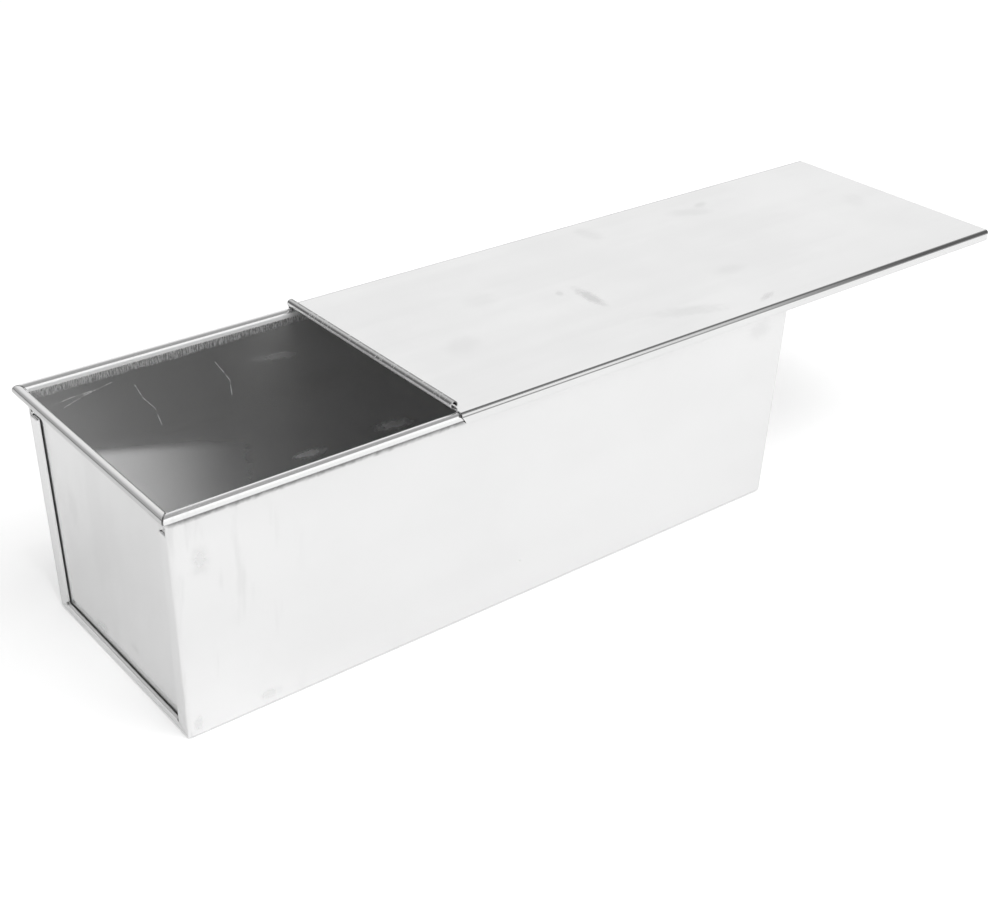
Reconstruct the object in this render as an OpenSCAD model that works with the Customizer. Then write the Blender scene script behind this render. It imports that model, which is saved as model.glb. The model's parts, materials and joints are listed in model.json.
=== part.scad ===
// Loaf pan with a sliding lid, folded and wired from thin tinned sheet.
// The middle of the base rests at the origin, the long side runs along X and the lid is drawn towards +X.

/* [Pan] */
// Outside length at the rim, over the two end frames
pan_len = 311; // [220:1:420]
// Outside width at the rim, over the two long walls
pan_w = 114.6; // [80:0.2:160]
// Height of the middle of the rim bead above the table
rim_h = 100; // [70:1:140]
// How far each end leans out over the height of the rim
end_lean = 2.1; // [0.5:0.1:6]
// How far each long wall leans out over the height of the rim
side_lean = 2.6; // [0.5:0.1:6]
// Outer radius of the bends at the four upright corners
corner_r = 2.2; // [1.7:0.1:3]
// Outer radius of the bends round the floor
floor_r = 1.4; // [1.2:0.1:2]

/* [Sheet and wire] */
// Thickness of the tinned sheet
sheet_t = 0.45; // [0.35:0.05:0.6]
// Diameter of the wire inside the rim
wire_d = 3; // [2.4:0.1:4]
// Clearance all round the wire in its curl
wire_gap = 0.1; // [0.05:0.05:0.2]
// How far the sheet turns round the wire, in degrees
curl_turn = 305; // [280:5:320]
// Opening between two curls at a corner of the rim
mitre_gap = 0.7; // [0.3:0.1:1.2]
// Gap where the two ends of the wire meet
wire_butt = 0.4; // [0.2:0.1:1]

/* [End frames] */
// Width of the upright strips that close on an end panel
strip_w = 8; // [6:0.5:14]
// Height of the strip along the foot of an end panel
sill_h = 4.6; // [4:0.2:9]
// Distance from the middle of the rim bead down to the tops of the strips
frame_drop = 10; // [8:0.5:20]
// Gap between the layers of a folded seam
seam_gap = 0.1; // [0.05:0.05:0.15]
// Gap between a folded strip and the end panel behind it
panel_gap = 0.4; // [0.2:0.1:1]
// Height over which an end panel steps out to the rim
step_h = 4; // [3:0.5:6]
// Width of the slit where two strips meet at a lower corner
slit_w = 0.2; // [0.1:0.1:0.5]
// Radius of the small relief hole at the inner end of that slit
relief_r = 0.8; // [0.5:0.1:1.2]

/* [Lid] */
// How far the lid is drawn open from its closed place
lid_drawn = 133; // [0:1:170]
// How far the closed lid reaches past the rim at its lip
lid_reach = 8; // [4:0.5:12]
// Clearance of the lid above and below the rim bead
slide_gap = 0.3; // [0.2:0.1:0.6]
// Clearance between the sides of the lid and the rim bead
side_gap = 0.7; // [0.3:0.1:1.2]
// Outer radius of the lid's shoulders
lid_r = 1.4; // [1.1:0.1:1.8]
// Outer radius of the bend that turns each side of the lid under the bead
hook_r = 1.1; // [0.9:0.1:1.6]
// How far each side of the lid reaches in under the bead
hook_reach = 2.8; // [1.6:0.1:3.2]
// Outer radius of the curled pull lip
lip_r = 1.75; // [1.5:0.05:2.5]
// How far the lip curls up and round, in degrees
lip_turn = 300; // [270:5:310]
// How much sooner the lip ends at the near side than at the far side
lip_trim = 3.8; // [1:0.2:8]
// How far the sides of the lid are cut back under its lip end
side_cut = 2.5; // [1:0.5:6]
// Outer radius of the bend that turns the stop down
lid_end_r = 0.95; // [0.8:0.05:1.5]
// Length of the turned-down stop below the lid's underside
stop_h = 5; // [3:0.5:8]
// Clearance between the stop and the rim when the lid is closed
stop_gap = 0.3; // [0.2:0.1:1]
// How far the lip and the stop keep in from the lid's shoulders
corner_trim = 0.6; // [0.2:0.1:2]

/* [Hidden] */

// Bends and curls are true circles, drawn with this many sides in a preview
$fn = 64;
// Overshoot of a cutting shape past the surface it cuts
cut = 1;
// Smallest radius of a bend's inner side
least_r = 0.1;
// Bends, curls and strips stand this little off the faces that they grow from, so that none merely touch
bend_ease = 0.01;
tin = [0.80, 0.81, 0.82];
bright_tin = [0.90, 0.90, 0.90];
steel = [0.45, 0.46, 0.48];

// Lean angles, and the half sizes of the base
end_angle = atan(end_lean / rim_h);
side_angle = atan(side_lean / rim_h);
base_x = pan_len / 2 - end_lean;
base_y = pan_w / 2 - side_lean;
// Height that stands clear above every piece of the pan
over_rim = rim_h + 4 * wire_d;

// Lengths worked out from angles are rounded to this step, so that neighbouring shapes meet exactly
tidy_step = 0.01;
function tidy(v) = round(v / tidy_step) * tidy_step;

// The curl's inner and outer radii, and the middle line of the rim bead
curl_in = wire_d / 2 + wire_gap;
bead_r = curl_in + sheet_t;
function curl_z(angle) = (rim_h + curl_in * sin(angle)) / cos(angle);
function bead_from(base, angle) = base + curl_z(angle) * sin(angle) + curl_in * cos(angle);
bead_x = tidy(bead_from(base_x, end_angle));
bead_y = tidy(bead_from(base_y, side_angle));

// A folded strip has three layers: the wall sheet, the lip of the end panel and the wall sheet again
lap_in = sheet_t + seam_gap;
hem_t = 3 * sheet_t + 2 * seam_gap;
panel_in = hem_t + panel_gap;
frame_z = rim_h - frame_drop;
// Flat run between a bend and the start of a folded strip
root = 0.4;
strip_root = corner_r + root;
sill_root = floor_r + root;
// Room between the end panel's lip and the inside of the fold
lip_room = 0.3;
// The upright corner in an end's own plane leans by this angle
strip_angle = atan(tan(side_angle) * cos(end_angle));
// The corner bends are cut back from this far below the bead, and this deep, to let the end curl through
notch_drop = 0.4;
notch_z = rim_h - bead_r - notch_drop;
notch_in = sheet_t + seam_gap;

// The lid's plate, sides and ends
plate_z0 = rim_h + bead_r + slide_gap;
plate_z1 = plate_z0 + sheet_t;
lid_in = bead_y + bead_r + side_gap;
lid_half = lid_in + sheet_t;
hook_z1 = rim_h - bead_r - slide_gap;
hook_z0 = hook_z1 - sheet_t;
lid_right = bead_x + bead_r + stop_gap + sheet_t + lid_drawn;
lid_left = lid_drawn - bead_x - bead_r - lid_reach;
lip_half = lid_half - lid_r - corner_trim;
// Where the flat plate starts behind the lip
plate_x0 = lid_left + lip_r;
// The slanting cut on each side starts this far below the shoulder
slant_drop = 0.3;
slant_z = plate_z1 - lid_r - slant_drop;
// The lip is drawn with this much of the plate, so that the two overlap
lip_stub = 1;
plate_x1 = lid_right - lid_end_r;

// Turns a vector back by the lean of an upright corner, so that it lies square to that corner
corner_line = [-tan(end_angle), -tan(side_angle), 1];
corner_tilt = acos(1 / norm(corner_line));
corner_turn = atan2(corner_line.y, corner_line.x);
tilt_axis = [-sin(corner_turn), cos(corner_turn), 0];
function upright(v) = v * cos(corner_tilt) - cross(tilt_axis, v) * sin(corner_tilt)
    + tilt_axis * (tilt_axis * v) * (1 - cos(corner_tilt));
function flat(v) = [v.x, v.y];
end_out = flat(upright([-cos(end_angle), 0, -sin(end_angle)]));
side_out = flat(upright([0, -cos(side_angle), -sin(side_angle)]));

// Half the height-dependent width of an end, in its own plane, less an inset from the long wall
function end_half(z, inset) = base_y + z * tan(strip_angle) - inset / cos(strip_angle);

module both_sides() {
    children();
    mirror([0, 1, 0]) children();
}

module both_ends() {
    children();
    mirror([1, 0, 0]) children();
}

// The plane of the left end: x runs into the pan, z runs up the end
module at_end() {
    translate([-base_x, 0, 0]) rotate([0, -end_angle, 0]) children();
}

// The plane of the near wall: y runs into the pan, z runs up the wall
module at_side() {
    translate([0, -base_y, 0]) rotate([side_angle, 0, 0]) children();
}

// The near upright corner line of the left end, in the plane of that end
module at_corner_line() {
    at_end() translate([0, -base_y, 0]) rotate([strip_angle, 0, 0]) children();
}

// Extrudes a drawing of Y and Z along X
module along_x(x0, x1) {
    translate([x0, 0, 0]) rotate([90, 0, 90]) linear_extrude(height = x1 - x0) children();
}

// Extrudes a drawing of X and Z along Y
module along_y(half) {
    rotate([90, 0, 0]) linear_extrude(height = 2 * half, center = true) children();
}

// Quarter of a bend, opening towards the chosen signs of x and y
module quarter_bend(r, sx, sy) {
    intersection() {
        difference() {
            circle(r = r);
            circle(r = r - sheet_t);
        }
        translate([min(0, sx * r), min(0, sy * r)]) square(r);
    }
}

// Outline across the pan between the floor and two leaning walls, before any bend is rounded
module leaning_outline(base, angle, inset) {
    foot = base + inset * tan(angle) - inset / cos(angle);
    top = base + over_rim * tan(angle) - inset / cos(angle);
    polygon([[-foot, inset], [foot, inset], [top, over_rim], [-top, over_rim]]);
}

// What is cut off a sharp fold to leave a bend, for two faces that look out along a and b
module bend_waste(r, a, b) {
    reach = r + cut;
    difference() {
        polygon([[0, 0], r * a, reach * a, reach * (a + b), reach * b, r * b]);
        circle(r = r + bend_ease);
    }
}

// Cut for the bend of an upright corner, square to the corner line
module corner_waste(inset) {
    r = max(corner_r - inset, least_r);
    translate([-base_x + (inset + r) / cos(end_angle), -base_y + (inset + r) / cos(side_angle), 0])
        rotate([0, 0, corner_turn]) rotate([0, corner_tilt, 0]) rotate([0, 0, -corner_turn])
            translate([0, 0, -2 * cut]) linear_extrude(height = over_rim + 4 * cut)
                bend_waste(r, end_out, side_out);
}

// Section of the cut for a bend between the floor and a wall that looks out along +x
module floor_waste(base, angle, inset) {
    r = max(floor_r - inset, least_r);
    middle = base + (inset + r) * tan(angle) - (inset + r) / cos(angle);
    translate([middle, inset + r]) bend_waste(r, [0, -1], [cos(angle), -sin(angle)]);
}

// The pan as a solid block, drawn in by an inset on the ends, the walls and the floor
module pan_block(inset) {
    difference() {
        intersection() {
            along_y(pan_w) leaning_outline(base_x, end_angle, inset);
            along_x(-pan_len, pan_len) leaning_outline(base_y, side_angle, inset);
        }
        both_ends() both_sides() corner_waste(inset);
        both_sides() along_x(-pan_len, pan_len) floor_waste(base_y, side_angle, inset);
        both_ends() along_y(pan_w) floor_waste(base_x, end_angle, inset);
    }
}

// What is cut off above a long wall, where its curl begins
module above_wall() {
    at_side() translate([-pan_len, -3 * wire_d, curl_z(side_angle)])
        cube([2 * pan_len, 6 * wire_d, over_rim]);
}

// Section of a curl round the wire: x runs into the pan and y up the wall that it grows from
module curl_section(angle) {
    reach = 2 * bead_r;
    rest = (360 + curl_turn) / 2;
    translate([-curl_in, curl_z(angle)]) difference() {
        circle(r = bead_r + bend_ease);
        circle(r = curl_in + bend_ease);
        polygon([
            [0, 0], [reach * cos(curl_turn), reach * sin(curl_turn)],
            [reach * cos(rest), reach * sin(rest)], [reach, 0]
        ]);
    }
}

// Plan of a curl along X between its two mitred ends, at the near side
module mitred_plan(half_x, half_y) {
    band = 2 * bead_r;
    back = mitre_gap / sqrt(2);
    translate([0, 0, -cut]) linear_extrude(height = over_rim + 2 * cut) polygon([
        [-half_x - band + back, -half_y - band], [half_x + band - back, -half_y - band],
        [half_x - band - back, -half_y + band], [-half_x + band + back, -half_y + band]
    ]);
}

// Section of a folded strip: x runs into the pan and y from the bend to the folded edge
module folded_section(start, edge) {
    r = hem_t / 2;
    translate([bend_ease, 0]) {
        for (x = [0, hem_t - sheet_t]) translate([x, start]) square([sheet_t, edge - r - start]);
        translate([r, edge - r]) intersection() {
            difference() {
                circle(r = r);
                circle(r = r - sheet_t);
            }
            translate([-r, 0]) square([2 * r, r]);
        }
    }
}

// Prism over the end plane that holds the foot strip between its two mitres, moved in by a margin
module sill_mitre(margin) {
    inner = end_half(sill_h, strip_w);
    slope = (base_y - inner) / sill_h;
    function at(z) = base_y - z * slope - margin;
    top = sill_h + cut;
    at_end() along_x(-cut, panel_in - panel_gap / 2) polygon([
        [-at(-cut), -cut], [at(-cut), -cut], [at(top), top], [-at(top), top]
    ]);
}

module upright_strip() {
    difference() {
        at_corner_line() linear_extrude(height = frame_z) folded_section(strip_root, strip_w);
        sill_mitre(0);
    }
}

module foot_strip() {
    intersection() {
        at_end() along_y(base_y) folded_section(sill_root, sill_h);
        sill_mitre(slit_w);
    }
}

// Small round relief where the folded edges of two strips meet
module corner_relief() {
    at_end() translate([-cut, -end_half(sill_h, strip_w), sill_h]) rotate([0, 90, 0])
        cylinder(h = hem_t + cut + seam_gap, r = relief_r);
}

// Everything further from an upright corner than the start of its strip
module past_strip_root() {
    at_corner_line() translate([-2 * cut, strip_root, -over_rim])
        cube([sheet_t + 4 * cut, 2 * pan_w, 3 * over_rim]);
}

// Opening in the outer layer of an end, out to the starts of the strips
module end_window() {
    intersection() {
        at_end() translate([-cut, -pan_w, sill_root]) cube([sheet_t + 2 * cut, 2 * pan_w, over_rim]);
        past_strip_root();
        mirror([0, 1, 0]) past_strip_root();
    }
}

// Room for the end curl above the corner bends
module corner_notch() {
    at_end() translate([-cut, -pan_w, notch_z]) cube([notch_in + cut, 2 * pan_w, over_rim]);
}

// One sheet makes the floor, both long walls, the strips at the ends and the long curls
module pan_sheet() color(tin) {
    difference() {
        pan_block(0);
        pan_block(sheet_t);
        both_sides() above_wall();
        both_ends() end_window();
        both_ends() corner_notch();
    }
    both_ends() difference() {
        union() {
            both_sides() upright_strip();
            foot_strip();
        }
        both_sides() corner_relief();
    }
    both_sides() intersection() {
        at_side() along_x(-pan_len, pan_len) curl_section(side_angle);
        mitred_plan(bead_x, bead_y);
    }
}

// Shallow tray behind the strips: the panel, its turned-out edge and the lip inside the seam
module panel_tray() {
    lip_side = strip_w - hem_t / 2 - lip_room;
    lip_foot = sill_h - hem_t / 2 - lip_room;
    difference() {
        intersection() {
            pan_block(lap_in);
            at_end() translate([-cut, -pan_w, -cut]) cube([panel_in + sheet_t + cut, 2 * pan_w, frame_z + cut]);
        }
        intersection() {
            pan_block(lap_in + sheet_t);
            at_end() translate([-cut, -pan_w, -cut]) cube([panel_in + cut, 2 * pan_w, frame_z + 3 * cut]);
        }
        at_end() along_x(-cut, panel_in - panel_gap / 2) polygon([
            [-end_half(lip_foot, lip_side), lip_foot], [end_half(lip_foot, lip_side), lip_foot],
            [end_half(over_rim, lip_side), over_rim], [-end_half(over_rim, lip_side), over_rim]
        ]);
    }
}

// Above the strips the panel steps out to the plane of the frame and runs up to the rim
module panel_top() {
    step_angle = atan(panel_in / step_h);
    shift = sheet_t * tan(step_angle / 2);
    step_z = frame_z + step_h;
    ear_z = notch_z + seam_gap;
    neck = strip_root + seam_gap;
    ear = lap_in + seam_gap;
    intersection() {
        at_end() along_y(pan_w) polygon([
            [panel_in, frame_z], [panel_in + sheet_t, frame_z], [panel_in + sheet_t, frame_z + shift],
            [sheet_t, step_z + shift], [sheet_t, curl_z(end_angle)], [0, curl_z(end_angle)], [0, step_z]
        ]);
        at_end() along_x(-cut, panel_in + sheet_t + cut) polygon([
            [-end_half(0, neck), 0], [end_half(0, neck), 0],
            [end_half(ear_z, neck), ear_z], [end_half(ear_z, ear), ear_z],
            [end_half(over_rim, ear), over_rim], [-end_half(over_rim, ear), over_rim],
            [-end_half(ear_z, ear), ear_z], [-end_half(ear_z, neck), ear_z]
        ]);
    }
}

module end_panel() {
    panel_tray();
    panel_top();
    intersection() {
        at_end() along_y(pan_w) curl_section(end_angle);
        rotate([0, 0, -90]) mitred_plan(bead_y, bead_x);
    }
}

module left_end_panel() color(tin) {
    end_panel();
}

module right_end_panel() color(tin) {
    mirror([1, 0, 0]) end_panel();
}

// A straight run of wire along X, mitred at both ends
module wire_run(half_x, half_y) {
    band = 2 * bead_r;
    intersection() {
        translate([0, -half_y, rim_h]) rotate([0, 90, 0])
            cylinder(h = 2 * half_x + 2 * wire_d, d = wire_d, center = true);
        translate([0, 0, rim_h - wire_d]) linear_extrude(height = 2 * wire_d) polygon([
            [-half_x - band, -half_y - band], [half_x + band, -half_y - band],
            [half_x - band, -half_y + band], [-half_x + band, -half_y + band]
        ]);
    }
}

// One wire bent round the whole rim, its two ends meeting halfway along the far side
module rim_wire() color(steel) {
    difference() {
        union() {
            both_sides() wire_run(bead_x, bead_y);
            both_ends() rotate([0, 0, -90]) wire_run(bead_y, bead_x);
        }
        translate([-wire_butt / 2, bead_y - wire_d, rim_h - wire_d]) cube([wire_butt, 2 * wire_d, 2 * wire_d]);
    }
}

// Section across one half of the lid, from the middle out to the hook under the bead
module lid_half_section() {
    hook_y = lid_in - hook_reach;
    translate([0, plate_z0]) square([lid_half - lid_r, sheet_t]);
    translate([lid_half - lid_r, plate_z1 - lid_r]) quarter_bend(lid_r, 1, 1);
    translate([lid_in, hook_z0 + hook_r]) square([sheet_t, plate_z1 - lid_r - hook_z0 - hook_r]);
    translate([lid_half - hook_r, hook_z0 + hook_r]) quarter_bend(hook_r, 1, -1);
    translate([hook_y, hook_z0]) square([lid_half - hook_r - hook_y, sheet_t]);
}

// Section of the curled pull lip, measured from the lid's left end: it leaves the plate at its lowest point
module lip_section() {
    reach = 2 * lip_r;
    open = 270 - lip_turn;
    translate([lip_r, plate_z0 + lip_r]) difference() {
        circle(r = lip_r);
        circle(r = lip_r - sheet_t);
        polygon([[0, 0], [0, -reach], [reach, -reach], [reach * cos(open), reach * sin(open)]]);
    }
    translate([lip_r, plate_z0]) square([lip_stub, sheet_t]);
}

// Section of the turned-down stop, measured from the lid's right end
module stop_section() {
    translate([-lid_end_r, plate_z1 - lid_end_r]) quarter_bend(lid_end_r, 1, 1);
    translate([-sheet_t, plate_z0 - stop_h]) square([sheet_t, stop_h + sheet_t - lid_end_r]);
}

// Section along the middle of the lid, from the start of the plate to the stop
module lid_length_section() {
    translate([plate_x0, plate_z0]) square([plate_x1 - plate_x0, sheet_t]);
    translate([lid_right, 0]) stop_section();
}

// What is cut off the sides of the lid at its left end, on a slant that leaves the shoulders whole
module side_waste() {
    slope = side_cut / (slant_z - hook_z0);
    translate([0, lid_in - hook_reach - cut, 0]) mirror([0, 1, 0]) rotate([90, 0, 0])
        linear_extrude(height = hook_reach + sheet_t + 2 * cut) polygon([
            [plate_x0 - cut, slant_z + cut / slope], [plate_x0 - cut, hook_z0 - cut],
            [plate_x0 + side_cut + cut * slope, hook_z0 - cut]
        ]);
}

// One sheet makes the plate, the two hooked sides, the pull lip and the stop
module lid_sheet() color(bright_tin) {
    difference() {
        union() {
            along_x(plate_x0, plate_x1) {
                lid_half_section();
                mirror([1, 0]) lid_half_section();
            }
            along_y(lip_half) lid_length_section();
            translate([lid_left, lip_trim / 2, 0]) along_y(lip_half - lip_trim / 2) lip_section();
        }
        both_sides() side_waste();
    }
}

pan_sheet();
left_end_panel();
right_end_panel();
rim_wire();
lid_sheet();
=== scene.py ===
import json
import math

import bpy
from mathutils import Matrix, Vector

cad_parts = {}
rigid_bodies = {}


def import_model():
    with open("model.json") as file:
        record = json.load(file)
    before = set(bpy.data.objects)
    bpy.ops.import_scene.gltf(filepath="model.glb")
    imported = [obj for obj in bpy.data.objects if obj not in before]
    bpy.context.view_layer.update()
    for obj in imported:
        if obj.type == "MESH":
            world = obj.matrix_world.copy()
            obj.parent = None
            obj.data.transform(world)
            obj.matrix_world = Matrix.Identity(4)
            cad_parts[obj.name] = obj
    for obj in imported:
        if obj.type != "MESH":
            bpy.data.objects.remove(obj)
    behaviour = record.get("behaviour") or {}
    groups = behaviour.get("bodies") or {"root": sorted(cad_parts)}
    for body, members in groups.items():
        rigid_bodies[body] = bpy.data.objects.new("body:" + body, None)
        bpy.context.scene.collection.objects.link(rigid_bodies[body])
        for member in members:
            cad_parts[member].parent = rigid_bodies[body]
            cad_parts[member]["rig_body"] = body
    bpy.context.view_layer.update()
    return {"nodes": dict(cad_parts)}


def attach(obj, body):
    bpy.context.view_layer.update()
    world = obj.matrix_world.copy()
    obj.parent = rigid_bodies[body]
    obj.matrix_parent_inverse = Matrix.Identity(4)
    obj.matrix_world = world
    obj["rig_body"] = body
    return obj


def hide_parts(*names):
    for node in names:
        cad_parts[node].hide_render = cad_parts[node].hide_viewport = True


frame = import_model()
scene = bpy.context.scene
scene.view_settings.view_transform = "Standard"
scene.cycles.glossy_bounces = 12    # light leaves a bright tin only after many turns
bpy.ops.object.select_all(action="DESELECT")
print("frame loaded:", ", ".join(sorted(frame["nodes"])))


# small helpers for node trees

def newMaterial(name):
    material = bpy.data.materials.new(name)
    material.use_nodes = True
    material.node_tree.nodes.clear()
    return material, material.node_tree


def addNode(tree, kind, sockets=None, **settings):
    node = tree.nodes.new(kind)
    for key, value in settings.items():
        setattr(node, key, value)
    for key, value in (sockets or {}).items():
        if isinstance(value, bpy.types.NodeSocket):
            tree.links.new(value, node.inputs[key])
        else:
            node.inputs[key].default_value = value
    return node


def mathNode(tree, operation, *values):
    return addNode(tree, "ShaderNodeMath", dict(enumerate(values)), operation=operation).outputs[0]


def productOf(tree, first, *others):
    for other in others:
        first = mathNode(tree, "MULTIPLY", first, other)
    return first


def noiseNode(tree, vector, scale, detail=3.0, roughness=0.5, stretch=(1, 1, 1)):
    mapping = addNode(tree, "ShaderNodeMapping", {"Vector": vector, "Scale": stretch})
    noise = addNode(tree, "ShaderNodeTexNoise",
                    {"Vector": mapping.outputs[0], "Scale": scale, "Detail": detail, "Roughness": roughness})
    return noise.outputs[0]


def rampNode(tree, value, low, high, outLow=0.0, outHigh=1.0):
    ramp = addNode(tree, "ShaderNodeMapRange",
                   {"Value": value, "From Min": low, "From Max": high, "To Min": outLow, "To Max": outHigh},
                   interpolation_type="SMOOTHSTEP")
    return ramp.outputs[0]


def mixColour(tree, factor, first, second, blend="MIX"):
    mix = addNode(tree, "ShaderNodeMix", {0: factor, 6: first, 7: second}, data_type="RGBA", blend_type=blend)
    return mix.outputs[2]


def mixValue(tree, factor, first, second):
    return addNode(tree, "ShaderNodeMix", {0: factor, 2: first, 3: second}).outputs[0]


def vectorNode(tree, operation, first, second):
    return addNode(tree, "ShaderNodeVectorMath", {0: first, 1: second}, operation=operation)


def grey(level):
    return (level, level, level, 1)


# camera, from the fit of the pan's corners and edges

cameraPlan = {
    "place": (-0.361319, -0.486722, 0.390948),
    "azimuth": -39.335,     # degrees, 0 looks along +Y
    "elevation": 29.467,
    "roll": 1.588,
    "focal": 57.706,
    "sensorWidth": 36,
    "farthest": 20,
}


def makeCamera(plan):
    data = bpy.data.cameras.new("camera")
    data.sensor_fit = "HORIZONTAL"
    data.sensor_width = plan["sensorWidth"]
    data.lens = plan["focal"]
    data.clip_end = plan["farthest"]
    camera = bpy.data.objects.new("camera", data)
    scene.collection.objects.link(camera)
    azimuth, elevation = math.radians(plan["azimuth"]), math.radians(plan["elevation"])
    back = Vector((math.sin(azimuth) * math.cos(elevation), -math.cos(azimuth) * math.cos(elevation),
                   math.sin(elevation)))
    turn = back.to_track_quat("Z", "Y").to_matrix().to_4x4()
    camera.matrix_world = (Matrix.Translation(plan["place"]) @ turn
                           @ Matrix.Rotation(math.radians(plan["roll"]), 4, "Z"))
    scene.camera = camera


makeCamera(cameraPlan)
print("camera set")


# studio: pale floor, soft sky, a wide key lamp and a small steep one that reaches into the pan

studioPlan = {
    "floorSize": 12,
    "floorHeight": -0.0003,     # a hair under the pan's base
    "floorColour": 0.80,
    "floorGlow": 0.30,          # added white for the camera alone
    "skyDiffuse": 0.62,
    # grey levels that the metal mirrors, by height above the horizon: behind the pan, and in front of it
    "wall": ((0.0, 0.20), (0.05, 0.24), (0.13, 0.86), (0.56, 0.88), (0.70, 0.56), (0.83, 0.32), (1.0, 0.28)),
    "window": ((0.0, 1.0), (0.57, 1.0), (0.69, 0.24), (1.0, 0.24)),
    "leftShade": 0.40,          # how much of the wall's light is left at the far left
    "leftFade": (-0.5, 0.1),
    "behindFade": (-0.05, 0.25),
    "lamps": [
        {"name": "key", "kind": "AREA", "place": (0.8, -1.5, 2.6), "aim": (0, 0, 0.05), "size": 2.8, "power": 66,
         "mirrored": False},
        {"name": "steep", "kind": "SPOT", "place": (-0.30, -0.62, 1.6), "aim": (-0.135, 0.01, 0), "size": 0.05,
         "power": 34, "cone": 5.0, "mirrored": True},
    ],
}


def makeFloor(plan):
    bpy.ops.mesh.primitive_plane_add(size=plan["floorSize"], location=(0, 0, plan["floorHeight"]))
    floor = bpy.context.object
    floor.name = "floor"
    material, tree = newMaterial("pale floor")
    path = addNode(tree, "ShaderNodeLightPath")
    seen = mathNode(tree, "MULTIPLY", path.outputs["Is Camera Ray"], plan["floorGlow"])
    diffuse = addNode(tree, "ShaderNodeBsdfDiffuse", {"Color": grey(plan["floorColour"])})
    glow = addNode(tree, "ShaderNodeEmission", {"Color": grey(1), "Strength": seen})
    both = addNode(tree, "ShaderNodeAddShader", {0: diffuse.outputs[0], 1: glow.outputs[0]})
    addNode(tree, "ShaderNodeOutputMaterial", {"Surface": both.outputs[0]})
    floor.data.materials.append(material)


def bandNode(tree, value, steps):
    band = addNode(tree, "ShaderNodeValToRGB", {0: value})
    stops = band.color_ramp.elements
    while len(stops) < len(steps):
        stops.new(0.5)
    for stop, (position, level) in zip(stops, steps):
        stop.position = position
        stop.color = grey(level)
    return band.outputs[0]


def makeSky(plan):
    world = bpy.data.worlds.new("studio")
    scene.world = world
    world.use_nodes = True
    tree = world.node_tree
    tree.nodes.clear()
    path = addNode(tree, "ShaderNodeLightPath")
    direction = addNode(tree, "ShaderNodeTexCoord").outputs["Generated"]
    across, along, height = addNode(tree, "ShaderNodeSeparateXYZ", {0: direction}).outputs
    wall = mathNode(tree, "MULTIPLY", bandNode(tree, height, plan["wall"]),
                    rampNode(tree, across, *plan["leftFade"], plan["leftShade"], 1.0))
    window = bandNode(tree, height, plan["window"])
    mirrored = mixValue(tree, rampNode(tree, along, *plan["behindFade"]), window, wall)
    shown = mixColour(tree, path.outputs["Is Glossy Ray"], grey(plan["skyDiffuse"]), mirrored)
    white = mixColour(tree, path.outputs["Is Camera Ray"], shown, grey(1))
    background = addNode(tree, "ShaderNodeBackground", {"Color": white, "Strength": 1.0})
    addNode(tree, "ShaderNodeOutputWorld", {"Surface": background.outputs[0]})


def makeLamps(plan):
    for lamp in plan["lamps"]:
        data = bpy.data.lights.new(lamp["name"], lamp["kind"])
        data.energy = lamp["power"]
        if lamp["kind"] == "AREA":
            data.size = lamp["size"]
        else:
            data.shadow_soft_size = lamp["size"]
            data.spot_size = math.radians(lamp["cone"])
            data.spot_blend = 1.0
        item = bpy.data.objects.new(lamp["name"], data)
        scene.collection.objects.link(item)
        item.visible_glossy = lamp["mirrored"]
        item.location = lamp["place"]
        item.rotation_euler = (Vector(lamp["place"]) - Vector(lamp["aim"])).to_track_quat("Z", "Y").to_euler()


makeFloor(studioPlan)
makeSky(studioPlan)
makeLamps(studioPlan)
print("studio set")


# tinned sheet: bright metal with cloudy patches, fine rolling lines and painted shade in its creases
# every length in a look is in millimetres

tinPlan = {
    "bright": 0.985,
    "dull": 0.955,
    "metallic": 0.88,
    "roughness": (0.10, 0.22),
    "cloudScale": 0.014,
    "streakScale": 0.06,
    "streakShare": 0.4,
    "lineScale": 0.42,
    "lineShare": 0.3,
    "waveScale": 0.009,
    "waveHeight": 0.20,
    "lineHeight": 0.004,
    "toneSpread": (0.35, 0.65),
    "roughSpread": (0.3, 0.7),
    "creaseReach": 2.0,
    "creaseShade": 0.30,
    "creaseSpread": (0.15, 0.85),
}


def blendOf(tree, first, second, share):
    return mathNode(tree, "MULTIPLY_ADD", second, share, mathNode(tree, "MULTIPLY", first, 1 - share))


def startTin(name, plan):
    material, tree = newMaterial(name)
    metres = addNode(tree, "ShaderNodeTexCoord").outputs["Object"]
    place = addNode(tree, "ShaderNodeVectorMath", {0: metres, "Scale": 1000.0}, operation="SCALE").outputs[0]
    x, y, z = addNode(tree, "ShaderNodeSeparateXYZ", {0: place}).outputs
    cloudy = noiseNode(tree, place, plan["cloudScale"], 4, 0.55)
    streaky = noiseNode(tree, place, plan["streakScale"], 3, 0.6, stretch=(0.05, 1, 1))
    lines = noiseNode(tree, place, plan["lineScale"], 2, 0.5, stretch=(0.06, 1, 1))
    waves = noiseNode(tree, place, plan["waveScale"], 1, 0.4)
    blend = blendOf(tree, cloudy, streaky, plan["streakShare"])
    mottle = blendOf(tree, blend, lines, plan["lineShare"])
    low, high = plan["roughness"]
    return {
        "material": material, "tree": tree, "place": place, "x": x, "y": y, "z": z,
        "colour": mixColour(tree, rampNode(tree, blend, *plan["toneSpread"]), grey(plan["dull"]), grey(plan["bright"])),
        "rough": rampNode(tree, mottle, *plan["roughSpread"], high, low),
        "metal": plan["metallic"],
        "bumps": [(waves, plan["waveHeight"]), (lines, plan["lineHeight"])],
    }


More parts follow.
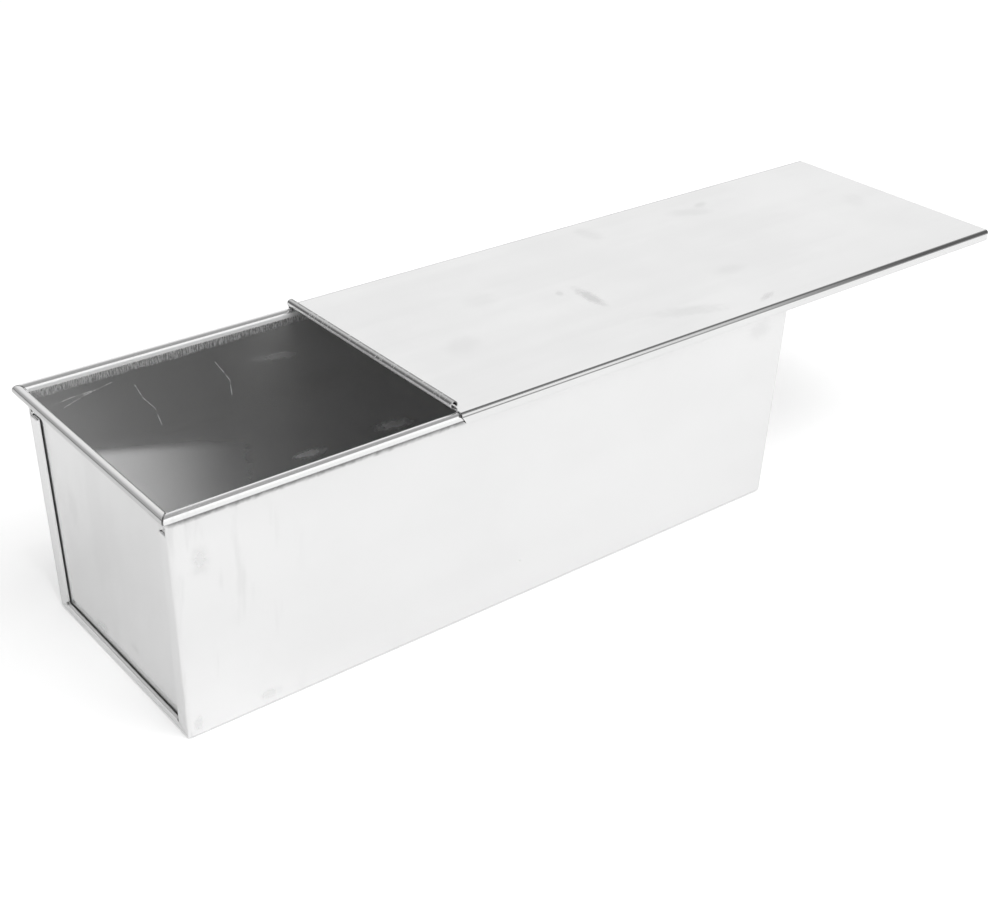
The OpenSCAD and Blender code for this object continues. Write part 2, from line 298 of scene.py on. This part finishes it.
def finishTin(look, plan):
    tree = look["tree"]
    # painted shade: the base colour is darkened where ambient occlusion finds a crease
    crease = addNode(tree, "ShaderNodeAmbientOcclusion", {"Distance": plan["creaseReach"] / 1000},
                     samples=6, only_local=True)
    paintedCreaseShade = rampNode(tree, crease.outputs["AO"], *plan["creaseSpread"], plan["creaseShade"], 1.0)
    if "open" in look:
        paintedCreaseShade = mixValue(tree, look["open"], paintedCreaseShade, 1.0)
    sockets = {"Base Color": mixColour(tree, 1.0, look["colour"], paintedCreaseShade, "MULTIPLY"),
               "Metallic": look["metal"], "Roughness": look["rough"]}
    for height, distance in look["bumps"]:
        bump = addNode(tree, "ShaderNodeBump", {"Height": height, "Distance": distance / 1000, "Strength": 1.0})
        if "Normal" in sockets:
            tree.links.new(sockets["Normal"], bump.inputs["Normal"])
        sockets["Normal"] = bump.outputs[0]
    shader = addNode(tree, "ShaderNodeBsdfPrincipled", sockets)
    addNode(tree, "ShaderNodeOutputMaterial", {"Surface": shader.outputs[0]})
    return look["material"]


def layTone(look, mask, level=None, rough=None, metal=None):
    # lays another grey, roughness or share of metal over the look where the mask is 1
    tree = look["tree"]
    if level is not None:
        look["colour"] = mixColour(tree, mask, look["colour"], grey(level))
    if rough is not None:
        look["rough"] = mixValue(tree, mask, look["rough"], rough)
    if metal is not None:
        look["metal"] = mixValue(tree, mask, look["metal"], metal)


spotEdge = {"grain": 0.35, "ragged": 0.9, "inner": 0.7, "outer": 1.45}      # in shares of a spot's size
strokeEdge = {"grain": 0.5, "inner": 0.6, "outer": 1.4}                     # in shares of a stroke's width
farAway = 1000.0


def spotMask(look, u, v, spot):
    # soft, ragged ellipse round a centre
    tree = look["tree"]
    flat = addNode(tree, "ShaderNodeCombineXYZ", {0: u, 1: v}).outputs[0]
    away = vectorNode(tree, "SUBTRACT", flat, (*spot["centre"], 0)).outputs[0]
    turned = addNode(tree, "ShaderNodeVectorRotate", {"Vector": away, "Angle": -math.radians(spot.get("turn", 0))})
    scaled = vectorNode(tree, "DIVIDE", turned.outputs[0], (*spot["size"], 1)).outputs[0]
    reach = addNode(tree, "ShaderNodeVectorMath", {0: scaled}, operation="LENGTH").outputs["Value"]
    grain = noiseNode(tree, look["place"], spotEdge["grain"], 3, 0.6)
    ragged = mathNode(tree, "MULTIPLY_ADD", grain, spotEdge["ragged"], reach)
    return rampNode(tree, ragged, spotEdge["inner"], spotEdge["outer"], spot.get("amount", 1.0), 0.0)


def strokeMask(look, u, v, points, width):
    # thin line through a few points, a little uneven
    tree = look["tree"]
    flat = addNode(tree, "ShaderNodeCombineXYZ", {0: u, 1: v}).outputs[0]
    nearest = farAway
    for start, end in zip(points, points[1:]):
        run = (end[0] - start[0], end[1] - start[1], 0)
        away = vectorNode(tree, "SUBTRACT", flat, (*start, 0)).outputs[0]
        ahead = vectorNode(tree, "DOT_PRODUCT", away, run).outputs["Value"]
        share = mathNode(tree, "DIVIDE", ahead, run[0] ** 2 + run[1] ** 2)
        held = addNode(tree, "ShaderNodeClamp", {0: share}).outputs[0]
        foot = addNode(tree, "ShaderNodeVectorMath", {0: run, "Scale": held}, operation="SCALE").outputs[0]
        nearest = mathNode(tree, "MINIMUM", vectorNode(tree, "DISTANCE", away, foot).outputs["Value"], nearest)
    wobble = mathNode(tree, "MULTIPLY", noiseNode(tree, look["place"], strokeEdge["grain"], 2), width)
    return rampNode(tree, mathNode(tree, "ADD", nearest, wobble),
                    width * strokeEdge["inner"], width * strokeEdge["outer"], 1.0, 0.0)


# the pan's own skin: outer walls with faint drips, an inside painted darker as painted shade, scuffed top edge of the
# far wall

panPlan = {
    "halfX": 153.4, "halfY": 54.7, "leanX": 0.021, "leanY": 0.026, "sheet": 0.45, "panelDepth": 1.95,
    "beadFoot": 97.9,
    "beadMiddle": 58.9,
    "beadRough": 0.10,
    # painted shade under the bead: grey, heights and ragged edge of the dark band
    "shadeUnderBead": {"level": 0.22, "wall": (94.8, 97.4), "bead": (98.5, 99.3), "grain": 0.5, "ragged": 1.6},
    "seamTop": {"inner": 153.6, "low": 89.2, "high": 90.4, "level": 0.95},
    "hollow": {"level": 0.86, "metal": 0.90, "rim": (96.5, 99.0), "floorTop": 1.2, "floorRough": 0.5,
               "floorMetal": 0.88},
    "farDepth": 3,              # what lies this near to the far wall counts as on it
    "rightSide": {"metal": 0.80, "along": (-75, -30)},      # a little paler beside the lid
    # painted light: a pale, rough, mostly non-metallic patch low on the far wall stands in for a pool of light there;
    # its upper edge is a slanting line
    "litPatch": {"at": (-92.3, 54.7), "slope": -0.25, "soft": 2.6, "along": (-142, -60), "level": 0.97, "rough": 0.48,
             "metal": 0.24, "grain": 1.9, "speckle": 0.86},
    "blur": {"along": (-100, -10), "rough": 0.36},
    # crimped band along the top of the far wall
    "crimp": {"edge": (97.3, 98.3), "top": 99.0, "tone": (0.84, 0.26, 0.88), "markTone": (0.92, 0.42, 0.76),
              "grain": 1.3, "stretch": (1.7, 1, 0.25), "marks": (0.48, 0.60), "height": 0.20,
              "wander": ((0.05, 1, 2.4), (0.7, 2, 1.6))},
    "farBead": {"foot": (98.7, 99.3), "top": (100.6, 101.3), "level": 0.97, "metal": 0.2},
    "scratchWidth": 0.32,
    "scratches": [
        ((-72.5, 88.7), (-69.6, 84.1), (-66.2, 78.4), (-65.8, 71.2)),
        ((-109.5, 88.9), (-106.6, 82.2), (-101.8, 76.1), (-99.4, 67.4)),
        ((-146.2, 90.3), (-137.6, 91.6), (-126.8, 91.9)),
        ((-140.5, 88.2), (-131.0, 91.0), (-119.0, 93.2)),
    ],
    # painted highlights: pale glints low on the far wall and one higher up
    "paintedGlints": [
        {"centre": (17, 30.6), "size": (15, 3.2), "turn": -8, "amount": 0.60},
        {"centre": (-29, 30.6), "size": (12, 2.8), "turn": -6, "amount": 0.50},
        {"centre": (-42, 82.8), "size": (18, 2.6), "turn": -8, "amount": 0.14},
    ],
    "wallMarks": [
        {"centre": (-144, 77.5), "size": (5, 9), "amount": 0.7},
        {"centre": (-118, 5.6), "size": (7, 3.5), "amount": 0.7},
        {"centre": (-149, 6), "size": (3, 5), "amount": 0.8},
        {"centre": (-128, 62), "size": (3, 12), "amount": 0.5},
        {"centre": (4.3, 18.5), "size": (0.9, 0.7), "amount": 0.9},
        {"centre": (137.5, 89.3), "size": (10, 6), "amount": 0.6},
    ],
    "drips": {"grain": 0.16, "stretch": (1, 1, 0.18), "spread": (0.55, 0.68), "along": (-150, -70), "amount": 0.6},
}


def insideMask(look, plan):
    # 1 on the faces that look into the hollow, 0 on the outer ones
    tree, middle = look["tree"], plan["sheet"] / 2
    limitX = mathNode(tree, "MULTIPLY_ADD", look["z"], plan["leanX"], plan["halfX"] - plan["panelDepth"] - middle)
    limitY = mathNode(tree, "MULTIPLY_ADD", look["z"], plan["leanY"], plan["halfY"] - middle)
    withinX = mathNode(tree, "LESS_THAN", mathNode(tree, "ABSOLUTE", look["x"]), limitX)
    withinY = mathNode(tree, "LESS_THAN", mathNode(tree, "ABSOLUTE", look["y"]), limitY)
    above = mathNode(tree, "GREATER_THAN", look["z"], middle)
    return productOf(tree, withinX, withinY, above)


def layHollowShade(look, plan):
    tree, hollow = look["tree"], plan["hollow"]
    inside = productOf(tree, insideMask(look, plan), rampNode(tree, look["z"], *hollow["rim"], 1.0, 0.0))
    # painted shade: the faces inside the hollow are painted darker
    layTone(look, inside, level=hollow["level"], metal=hollow["metal"])
    onFloor = productOf(tree, inside, mathNode(tree, "LESS_THAN", look["z"], hollow["floorTop"]))
    layTone(look, onFloor, rough=hollow["floorRough"], metal=hollow["floorMetal"])
    return inside


def layBead(look, plan):
    layTone(look, mathNode(look["tree"], "GREATER_THAN", look["z"], plan["beadFoot"]), rough=plan["beadRough"])


def layShadeUnderBead(look, plan):
    # painted shade outside under the bead: the wall just below it and the bead's underside are painted dark
    tree, z, underShade = look["tree"], look["z"], plan["shadeUnderBead"]
    outside = mathNode(tree, "SUBTRACT", 1.0, insideMask(look, plan))
    onBead = mathNode(tree, "GREATER_THAN", z, plan["beadFoot"])
    grain = noiseNode(tree, look["place"], underShade["grain"], 3, 0.6)
    ragged = mathNode(tree, "MULTIPLY_ADD", grain, underShade["ragged"], z)
    wallPart = productOf(tree, mathNode(tree, "SUBTRACT", 1.0, onBead), rampNode(tree, ragged, *underShade["wall"]))
    beadPart = productOf(tree, onBead, rampNode(tree, z, *underShade["bead"], 1.0, 0.0))
    layTone(look, productOf(tree, outside, mathNode(tree, "ADD", wallPart, beadPart)), level=underShade["level"])


def layTops(look, plan):
    # painted light: the open tops of the folded strips are painted pale and kept free of the painted crease shade
    tree, z, top = look["tree"], look["z"], plan["seamTop"]
    outer = mathNode(tree, "GREATER_THAN", mathNode(tree, "ABSOLUTE", look["x"]), top["inner"])
    onTop = productOf(tree, outer, mathNode(tree, "GREATER_THAN", z, top["low"]),
                      mathNode(tree, "LESS_THAN", z, top["high"]))
    facing = addNode(tree, "ShaderNodeSeparateXYZ",
                     {0: addNode(tree, "ShaderNodeNewGeometry").outputs["True Normal"]}).outputs[2]
    look["open"] = productOf(tree, onTop, mathNode(tree, "GREATER_THAN", facing, 0.5))
    layTone(look, look["open"], level=top["level"], rough=0.4, metal=0.2)


def layLitPatch(look, plan, farSide):
    tree, litPatch, blur, side = look["tree"], plan["litPatch"], plan["blur"], plan["rightSide"]
    layTone(look, productOf(tree, farSide, rampNode(tree, look["x"], *side["along"])), metal=side["metal"])
    line = mathNode(tree, "MULTIPLY_ADD", look["x"], litPatch["slope"], litPatch["at"][1] - litPatch["slope"] * litPatch["at"][0])
    depth = mathNode(tree, "SUBTRACT", line, look["z"])
    speckle = rampNode(tree, noiseNode(tree, look["place"], litPatch["grain"], 2, 0.7), 0.3, 0.7, litPatch["speckle"], 1.0)
    blurred = productOf(tree, farSide, rampNode(tree, depth, -3 * litPatch["soft"], litPatch["soft"]),
                        rampNode(tree, look["x"], *blur["along"], 1.0, 0.0))
    layTone(look, blurred, rough=blur["rough"])
    # painted light: below the slanting line the far wall is painted pale and made mostly non-metallic
    litPatchMask = productOf(tree, farSide, rampNode(tree, depth, -litPatch["soft"], litPatch["soft"]),
                      rampNode(tree, look["x"], *litPatch["along"], 1.0, 0.0), speckle)
    layTone(look, litPatchMask, litPatch["level"], litPatch["rough"], litPatch["metal"])


def layCrimp(look, plan):
    tree, crimp = look["tree"], plan["crimp"]
    wander = look["z"]
    for scale, detail, reach in crimp["wander"]:
        wander = mathNode(tree, "MULTIPLY_ADD", noiseNode(tree, look["place"], scale, detail), reach, wander)
    band = productOf(tree, rampNode(tree, wander, *crimp["edge"]),
                     mathNode(tree, "GREATER_THAN", look["y"], plan["halfY"] - plan["farDepth"]),
                     mathNode(tree, "LESS_THAN", look["z"], crimp["top"]))
    wrinkles = noiseNode(tree, look["place"], crimp["grain"], 3, 0.65, stretch=crimp["stretch"])
    layTone(look, band, *crimp["tone"])
    layTone(look, productOf(tree, band, rampNode(tree, wrinkles, *crimp["marks"])), *crimp["markTone"])
    look["bumps"].append((productOf(tree, band, wrinkles), crimp["height"]))


def layFarBead(look, plan):
    tree, bead = look["tree"], plan["farBead"]
    onBead = productOf(tree, mathNode(tree, "GREATER_THAN", look["z"], plan["beadFoot"]),
                       mathNode(tree, "GREATER_THAN", look["y"], plan["halfY"]),
                       mathNode(tree, "LESS_THAN", look["y"], plan["beadMiddle"]))
    # painted light: the face of the far bead is painted pale and made mostly non-metallic between its foot and its top
    rubAndSheen = productOf(tree, onBead, rampNode(tree, look["z"], *bead["foot"]),
                       rampNode(tree, look["z"], *bead["top"], 1.0, 0.0))
    layTone(look, rubAndSheen, level=bead["level"], metal=bead["metal"])


def layWear(look, plan, farSide):
    # scratches and painted highlights inside, worn spots and drips outside
    tree, x, z = look["tree"], look["x"], look["z"]
    uneven = rampNode(tree, noiseNode(tree, look["place"], 0.25, 3, 0.6), 0.35, 0.60, 0.35, 1.0)
    for points in plan["scratches"]:
        scratch = productOf(tree, farSide, strokeMask(look, x, z, points, plan["scratchWidth"]), uneven)
        layTone(look, scratch, level=0.94, rough=0.4, metal=0.55)
    for glint in plan["paintedGlints"]:
        layTone(look, productOf(tree, farSide, spotMask(look, x, z, glint)), level=0.96, rough=0.45, metal=0.1)
    nearSide = mathNode(tree, "LESS_THAN", look["y"], 1 - plan["halfY"])
    for mark in plan["wallMarks"]:
        layTone(look, productOf(tree, nearSide, spotMask(look, x, z, mark)), level=0.86, rough=0.34)
    drips = plan["drips"]
    grain = noiseNode(tree, look["place"], drips["grain"], 3, 0.6, stretch=drips["stretch"])
    dripped = productOf(tree, nearSide, rampNode(tree, grain, *drips["spread"]),
                        rampNode(tree, x, *drips["along"], drips["amount"], 0.0))
    layTone(look, dripped, level=0.88, rough=0.30)


def makePanTin(name, plan):
    look = startTin(name, tinPlan)
    layBead(look, plan)
    inside = layHollowShade(look, plan)
    farSide = productOf(look["tree"], inside,
                        mathNode(look["tree"], "GREATER_THAN", look["y"], plan["halfY"] - plan["farDepth"]))
    layLitPatch(look, plan, farSide)
    layCrimp(look, plan)
    layFarBead(look, plan)
    layWear(look, plan, farSide)
    layShadeUnderBead(look, plan)
    layTops(look, plan)
    return finishTin(look, tinPlan)


# end panels: the same sheet, a little duller, scuffed towards the foot

panelPlan = {
    "tin": {**tinPlan, "bright": 0.96, "dull": 0.93},
    "rub": {"grain": 0.05, "stretch": (1, 1, 0.3), "spread": (0.45, 0.65), "amount": 0.5, "level": 0.88},
    # painted shade: the end bead is painted darker towards its foot and lighter towards its top
    "beadShadeTones": ((97.0, 0.60), (99.0, 0.72), (100.8, 0.84)),
    "beadBlend": 0.8,
    "scuffs": [
        {"centre": (18, 9), "size": (9, 4), "turn": -20, "amount": 0.7},
        {"centre": (-12, 16), "size": (5, 3), "amount": 0.5},
        {"centre": (30, 60), "size": (6, 12), "amount": 0.4},
    ],
}


def makePanelTin(name, plan):
    look = startTin(name, plan["tin"])
    tree = look["tree"]
    layBead(look, panPlan)
    layHollowShade(look, panPlan)
    for scuff in plan["scuffs"]:
        layTone(look, spotMask(look, look["y"], look["z"], scuff), level=0.84, rough=0.34)
    rub = plan["rub"]
    rubAndSheen = noiseNode(tree, look["place"], rub["grain"], 4, 0.6, stretch=rub["stretch"])
    layTone(look, rampNode(tree, rubAndSheen, *rub["spread"], 0.0, rub["amount"]), level=rub["level"])
    bead = mathNode(tree, "GREATER_THAN", look["z"], panPlan["beadFoot"])
    for start, level in plan["beadShadeTones"]:
        mask = productOf(tree, bead, rampNode(tree, look["z"], start, start + plan["beadBlend"]))
        layTone(look, mask, level=level)
    layShadeUnderBead(look, panPlan)
    layTops(look, panPlan)
    return finishTin(look, plan["tin"])


# lid sheet: finger smudges on the plate, fine cross marks along the curled lip, painted reflections round the lip and
# painted shade on the side shoulders

lidPlan = {
    "tin": {**tinPlan, "bright": 0.95, "dull": 0.91},
    "plateTop": 102.8,
    "lipEnd": -30.6,
    "lipMiddle": (-32.43, 104.1),
    # painted shade: the shoulders of the sides are painted darker, most of all at the stop end, with painted dark lines
    # along their top and foot
    "shoulder": {"from": 60.5, "to": 61.1, "foot": (100.9, 101.6), "dark": 0.10, "pale": 0.80, "along": (20, 250)},
    "shoulderLines": {"top": (60.6, 61.0, 61.2, 61.5), "foot": (100.9, 101.2, 101.4, 101.7), "level": 0.30},
    # painted reflections: greys round the curl, as shares of the turn from its back over the top and down, and where a
    # painted highlight is made less metallic
    "lipReflectionTones": ((0.0, 0.26), (0.31, 0.26), (0.38, 0.66), (0.45, 0.70), (0.51, 0.30), (0.56, 0.30), (0.61, 0.95),
                 (0.70, 0.95), (0.77, 0.28), (1.0, 0.28)),
    "lipSheen": ((0.0, 0.0), (0.56, 0.0), (0.62, 1.0), (0.70, 1.0), (0.76, 0.0)),
    "lipSheenAlong": {"from": -55, "to": 55, "near": 1.0, "far": 0.35, "metal": 0.25},
    "lipTurn": 270,             # degrees round the curl that the tones are spread over
    "lipRough": 0.12,
    "crossMarks": {"grain": 0.9, "stretch": (0.25, 1, 0.25), "spread": (0.55, 0.65), "level": 0.70, "rough": 0.30,
                   "height": 0.06},
    "smudge": {"level": 0.80, "rough": 0.32},
    "smudges": [
        {"centre": (78.9, -8.4), "size": (15, 4.6), "turn": 86},
        {"centre": (70.5, 2.5), "size": (4, 2.6), "turn": 60, "amount": 0.6},
        {"centre": (127.1, 47.9), "size": (7, 12), "amount": 0.35},
        {"centre": (188, 40.2), "size": (16, 7), "turn": -25, "amount": 0.35},
        {"centre": (199.3, 44.7), "size": (7, 3.5), "turn": 20, "amount": 0.5},
        {"centre": (152.4, -22.2), "size": (12, 6), "amount": 0.3},
        {"centre": (143.9, -53.3), "size": (8, 2.6), "turn": 20, "amount": 0.75},
        {"centre": (104.6, -44.8), "size": (24, 7), "turn": -20, "amount": 0.42},
        {"centre": (4, -14.3), "size": (14, 9), "turn": 30, "amount": 0.28},
        {"centre": (37.5, 17.2), "size": (12, 9), "amount": 0.25},
        {"centre": (270, 4), "size": (14, 8), "turn": 50, "amount": 0.2},
    ],
}


def makeLidTin(name, plan):
    look = startTin(name, plan["tin"])
    tree = look["tree"]
    for smudge in plan["smudges"]:
        layTone(look, spotMask(look, look["x"], look["y"], smudge), **plan["smudge"])
    middleX, middleZ = plan["lipMiddle"]
    back = productOf(tree, mathNode(tree, "LESS_THAN", look["x"], plan["lipEnd"]),
                     mathNode(tree, "GREATER_THAN", look["z"], plan["plateTop"] + 0.02))
    lip = mathNode(tree, "MAXIMUM", back, mathNode(tree, "LESS_THAN", look["x"], middleX - 0.02))
    shoulder = plan["shoulder"]
    aside = mathNode(tree, "ABSOLUTE", look["y"])
    bent = productOf(tree, rampNode(tree, aside, shoulder["from"], shoulder["to"]),
                     rampNode(tree, look["z"], *shoulder["foot"]))
    # painted shade on the shoulders, darkest at the stop end; below, painted dark lines along their top and foot
    shoulderShade = rampNode(tree, look["x"], *shoulder["along"], shoulder["pale"], shoulder["dark"])
    look["colour"] = mixColour(tree, bent, look["colour"], shoulderShade)
    layTone(look, bent, metal=0.97)
    lines = plan["shoulderLines"]
    for value, (start, full, hold, end) in ((aside, lines["top"]), (look["z"], lines["foot"])):
        line = productOf(tree, rampNode(tree, value, start, full), rampNode(tree, value, hold, end, 1.0, 0.0),
                         mathNode(tree, "GREATER_THAN", aside, shoulder["from"]),
                         mathNode(tree, "GREATER_THAN", look["z"], 100.5))
        layTone(look, line, level=lines["level"])
    turned = mathNode(tree, "ARCTAN2", mathNode(tree, "SUBTRACT", middleX, look["x"]),
                      mathNode(tree, "SUBTRACT", look["z"], middleZ))
    share = mathNode(tree, "MULTIPLY_ADD", turned, math.degrees(1) / plan["lipTurn"], 90 / plan["lipTurn"])
    # painted reflections: grey bands round the curl, with a painted highlight made less metallic
    look["colour"] = mixColour(tree, lip, look["colour"], bandNode(tree, share, plan["lipReflectionTones"]))
    along, marks = plan["lipSheenAlong"], plan["crossMarks"]
    rubAndSheen = productOf(tree, lip, bandNode(tree, share, plan["lipSheen"]),
                       rampNode(tree, look["y"], along["from"], along["to"], along["near"], along["far"]))
    layTone(look, rubAndSheen, metal=along["metal"])
    layTone(look, lip, rough=plan["lipRough"])
    crossMarks = noiseNode(tree, look["place"], marks["grain"], 3, 0.65, stretch=marks["stretch"])
    marked = productOf(tree, lip, rampNode(tree, crossMarks, *marks["spread"]))
    layTone(look, marked, level=marks["level"], rough=marks["rough"])
    look["bumps"].append((productOf(tree, lip, crossMarks), marks["height"]))
    return finishTin(look, plan["tin"])


# rim wire: duller drawn steel with lines along it

wirePlan = {
    **tinPlan,
    "bright": 0.62,
    "dull": 0.50,
    "metallic": 1.0,
    "roughness": (0.26, 0.40),
    "cloudScale": 0.05,
    "lineScale": 2.0,
    "waveHeight": 0.02,
    "lineHeight": 0.01,
    "creaseReach": 1.0,
    "creaseShade": 0.4,
}


def makeWireSteel(name, plan):
    look = startTin(name, plan)
    spots = rampNode(look["tree"], noiseNode(look["tree"], look["place"], 0.6, 3, 0.6), 0.6, 0.7)
    layTone(look, spots, level=0.34, rough=0.5)
    return finishTin(look, plan)


panTin = makePanTin("tinned sheet", panPlan)
panelTin = makePanelTin("tinned end panel", panelPlan)
pieces = {
    "pan_sheet": {"finish": panTin, "slot": "pan_tin"},
    "left_end_panel": {"finish": panelTin, "slot": "pan_tin"},
    "right_end_panel": {"finish": panelTin, "slot": "pan_tin"},
    "rim_wire": {"finish": makeWireSteel("drawn wire", wirePlan), "slot": "wire_steel"},
    "lid_sheet": {"finish": makeLidTin("tinned lid", lidPlan), "slot": "lid_tin"},
}
print("finishes made:", ", ".join(plan["finish"].name for plan in pieces.values()))


mergeDistance = 0.000001
smoothAngle = 35


def makeSkin(nodeName, plan):
    # a merged copy of the exact solid, shaded smooth over its bends and flat over its plain faces
    source = frame["nodes"][nodeName]
    piece = bpy.data.objects.new(nodeName + "_skin", source.data.copy())
    scene.collection.objects.link(piece)
    piece.data.materials.clear()
    piece.data.materials.append(plan["finish"])
    bpy.ops.object.select_all(action="DESELECT")
    piece.select_set(True)
    bpy.context.view_layer.objects.active = piece
    bpy.ops.object.mode_set(mode="EDIT")
    bpy.ops.mesh.select_all(action="SELECT")
    bpy.ops.mesh.customdata_custom_splitnormals_clear()
    bpy.ops.mesh.remove_doubles(threshold=mergeDistance)
    bpy.ops.object.mode_set(mode="OBJECT")
    bpy.ops.object.shade_smooth_by_angle(angle=math.radians(smoothAngle))
    weighted = piece.modifiers.new("weighted", "WEIGHTED_NORMAL")
    weighted.keep_sharp = True
    bpy.ops.object.modifier_apply(modifier="weighted")
    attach(piece, source["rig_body"])
    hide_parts(nodeName)


for nodeName, plan in pieces.items():
    makeSkin(nodeName, plan)
    print("made", nodeName)
